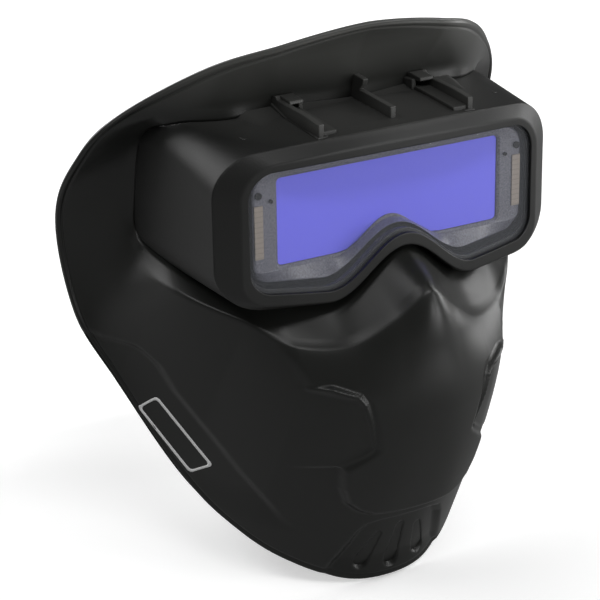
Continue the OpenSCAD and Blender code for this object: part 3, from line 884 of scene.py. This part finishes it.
def build_strap():
    """One length of webbing: through each clip's slot, folded back through the slider and sewn down."""
    line = strap_line()
    tangent = np.gradient(line, axis=0)
    tangent /= np.linalg.norm(tangent, axis=1, keepdims=True)
    side = np.stack([tangent[:, 1], -tangent[:, 0]], 1)
    half = STRAP_WIDTH / 2
    section = []
    for w in np.linspace(-half, half, 13):
        section.append((w, 0.5 * WEB * (1 - EDGE_THINNING * smooth(half - THIN_EDGE, half, abs(w)))))
    section += [(w, -t) for w, t in section[::-1]]
    flat = np.array([(x + nx * t, s + ns * t, w) for (x, s), (nx, ns) in zip(line, side) for w, t in section])
    turn = np.array(Matrix.Rotation(-STRAP_DROP, 3, "X"))
    verts = flat @ turn.T * MM + np.array(PIN)
    rows, cols = len(line), len(section)
    faces = []
    for start in range(0, (rows - 1) * cols, cols):
        for c in range(cols):
            d = (c + 1) % cols
            faces.append((start + c, start + d, start + cols + d, start + cols + c))
    faces.append(tuple(range(cols))[::-1])
    faces.append(tuple(range((rows - 1) * cols, rows * cols)))
    obj = new_object("strap", verts, faces, WEBBING, "headband")
    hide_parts("head_strap")


build_strap()


# ---------------------------------------------------------------- blank patch on the cheek

# The patch's middle and its half length and half width, as (x, z) seen from the front
PATCH_CENTRE = np.array([-76.6, -114.0])
PATCH_ALONG = np.array([7.8, -14.4])
PATCH_ACROSS = np.array([-2.4, -4.1])
INNER_LONG, INNER_WIDE = 0.945, 0.8
PATCH_PROUD, PATCH_SUNK = 0.12, -0.2
PATCH_STEPS = 24
# The corners' share of the length and of the width, and how far their tips are drawn in
ROUND_LONG, ROUND_WIDE = 0.07, 0.25
DRAWN_LONG, DRAWN_WIDE = 0.025, 0.09


def patch_ring(long, wide):
    """A rectangle with its corners drawn in, in shares of the patch's half length and half width."""
    corners = [(-long, -wide), (long, -wide), (long, wide), (-long, wide)]
    ring = []
    for (a0, b0), (a1, b1) in zip(corners, corners[1:] + corners[:1]):
        for t in np.linspace(0, 1, PATCH_STEPS, endpoint=False):
            a, b = a0 + (a1 - a0) * t, b0 + (b1 - b0) * t
            near_end = max(0, (abs(a) - long + ROUND_LONG) / ROUND_LONG)
            near_side = max(0, (abs(b) - wide + ROUND_WIDE) / ROUND_WIDE)
            over = near_end * near_side
            ring.append((a * (1 - DRAWN_LONG * over), b * (1 - DRAWN_WIDE * over)))
    return ring


def build_patch():
    """A plain outlined patch in place of a printed label, laid on the shell."""
    shell = BVHTree.FromObject(shield, bpy.context.evaluated_depsgraph_get())

    def lay(a, b, lift):
        x, z = PATCH_CENTRE + PATCH_ALONG * a + PATCH_ACROSS * b
        hit, normal, _, _ = shell.ray_cast(Vector((x * MM, -0.3, z * MM)), Vector((0, 1, 0)))
        return hit + normal * lift * MM

    rings = patch_ring(1, 1) + patch_ring(INNER_LONG, INNER_WIDE)
    verts = [lay(a, b, lift) for lift in (PATCH_PROUD, PATCH_SUNK) for a, b in rings]
    n = len(rings) // 2
    faces = []
    for c in range(n):
        d = (c + 1) % n
        faces += [(c, d, n + d, n + c), (2 * n + c, 3 * n + c, 3 * n + d, 2 * n + d),
                  (c, 2 * n + c, 2 * n + d, d), (n + c, n + d, 3 * n + d, 3 * n + c)]
    new_object("patch_outline", verts, faces, WHITE_INK, "goggles")


build_patch()


# ---------------------------------------------------------------- camera, floor and light

# The camera stands off the middle of the bezel's front, shifted across and up its own view
AZIMUTH, ELEVATION, ROLL = math.radians(-29.26), math.radians(22.0), math.radians(-0.98)
DISTANCE, ACROSS, UP = 912.75, -44.216, -38.014
LENS, SENSOR = 132.07, 36.0


def build_camera():
    back = Vector((math.sin(AZIMUTH) * math.cos(ELEVATION), -math.cos(AZIMUTH) * math.cos(ELEVATION),
                   math.sin(ELEVATION)))
    right = Vector((math.cos(AZIMUTH), math.sin(AZIMUTH), 0))
    up = back.cross(right)
    level = right * math.cos(ROLL) + up * math.sin(ROLL)
    upright = up * math.cos(ROLL) - right * math.sin(ROLL)
    eye = back * DISTANCE + level * ACROSS + upright * UP
    data = bpy.data.cameras.new("camera")
    data.lens = LENS
    data.sensor_width = SENSOR
    data.clip_end = 50
    cam = bpy.data.objects.new("camera", data)
    bpy.context.scene.collection.objects.link(cam)
    spin = Matrix((level, upright, back)).transposed().to_4x4()
    cam.matrix_world = Matrix.Translation((eye - Vector((0, REACH, 0))) * MM) @ spin
    bpy.context.scene.camera = cam


def show(tree, seen, otherwise, output):
    """The camera sees one shader and all other rays meet the other; only the floor and the world use this."""
    either = add(tree, "ShaderNodeMixShader")
    tree.links.new(add(tree, "ShaderNodeLightPath").outputs["Is Camera Ray"], either.inputs[0])
    tree.links.new(otherwise.outputs[0], either.inputs[1])
    tree.links.new(seen.outputs[0], either.inputs[2])
    tree.links.new(either.outputs[0], tree.nodes[output].inputs["Surface"])


FLOOR_HALF = 6
PAPER, PAPER_DIM = 0.93, 0.42
GLOW_FROM, GLOW_TO = 0.5, 2.4
GLOW_NEAR, GLOW_FAR = 0.3, 0.9


def build_floor():
    """Pale paper that fades into the background away from the object, and throws little light on it."""
    mat, tree, shader = nodes_of("paper_floor")
    shader.inputs["Base Color"].default_value = rgba(PAPER)
    shader.inputs["Roughness"].default_value = 0.9
    shader.inputs["Emission Color"].default_value = rgba(1)
    away = add(tree, "ShaderNodeVectorMath", operation="LENGTH")
    tree.links.new(object_place(tree), away.inputs[0])
    glow = map_range(tree, away.outputs["Value"], GLOW_FROM, GLOW_TO, GLOW_NEAR, GLOW_FAR)
    tree.links.new(glow, shader.inputs["Emission Strength"])
    dim = add(tree, "ShaderNodeBsdfDiffuse", Color=rgba(PAPER_DIM))
    show(tree, shader, dim, "Material Output")
    low = cad_box[0][2]
    corners = [(-FLOOR_HALF, -FLOOR_HALF), (FLOOR_HALF, -FLOOR_HALF), (FLOOR_HALF, FLOOR_HALF),
               (-FLOOR_HALF, FLOOR_HALF)]
    mesh = bpy.data.meshes.new("floor")
    mesh.from_pydata([(x, y, low) for x, y in corners], [], [(0, 1, 2, 3)])
    mesh.materials.append(mat)
    floor = bpy.data.objects.new("floor", mesh)
    bpy.context.scene.collection.objects.link(floor)


def build_world():
    """A white background with a dim fill light."""
    world = bpy.data.worlds.new("studio")
    world.use_nodes = True
    tree = world.node_tree
    seen = tree.nodes["Background"]
    seen.inputs["Color"].default_value = rgba(1)
    fill = add(tree, "ShaderNodeBackground", Color=rgba(1), Strength=0.15)
    show(tree, seen, fill, "World Output")
    bpy.context.scene.world = world
    bpy.context.scene.view_settings.view_transform = "Standard"


# Area lights in metres and watts, as (name, place, size, power), all aimed at the middle of the mask
AIM = Vector((0, 0, -0.05))
LIGHTS = [
    ("backdrop", (-0.5, 1.7, 0.7), (2.2, 1.1), 24),
    ("side", (1.5, -0.1, 0.35), (0.4, 1.4), 14),
    ("front", (0.4, -1.7, 0.2), (0.5, 0.5), 5),
    ("right_front", (1.0, -1.3, 0.35), (0.4, 1.3), 6),
    ("high_front", (-0.1, -0.9, 1.4), (1.2, 0.3), 8),
    ("top_left", (-1.1, 0.1, 1.3), (0.9, 0.5), 6),
    ("low_right", (0.9, -1.2, -0.1), (0.8, 0.12), 3),
]


def build_lights():
    for name, where, size, power in LIGHTS:
        data = bpy.data.lights.new(name, "AREA")
        data.shape = "RECTANGLE"
        data.size, data.size_y = size
        data.energy = power
        obj = bpy.data.objects.new(name, data)
        bpy.context.scene.collection.objects.link(obj)
        obj.location = where
        obj.rotation_euler = (AIM - Vector(where)).to_track_quat("-Z", "Y").to_euler()


build_camera()
build_floor()
build_world()
build_lights()
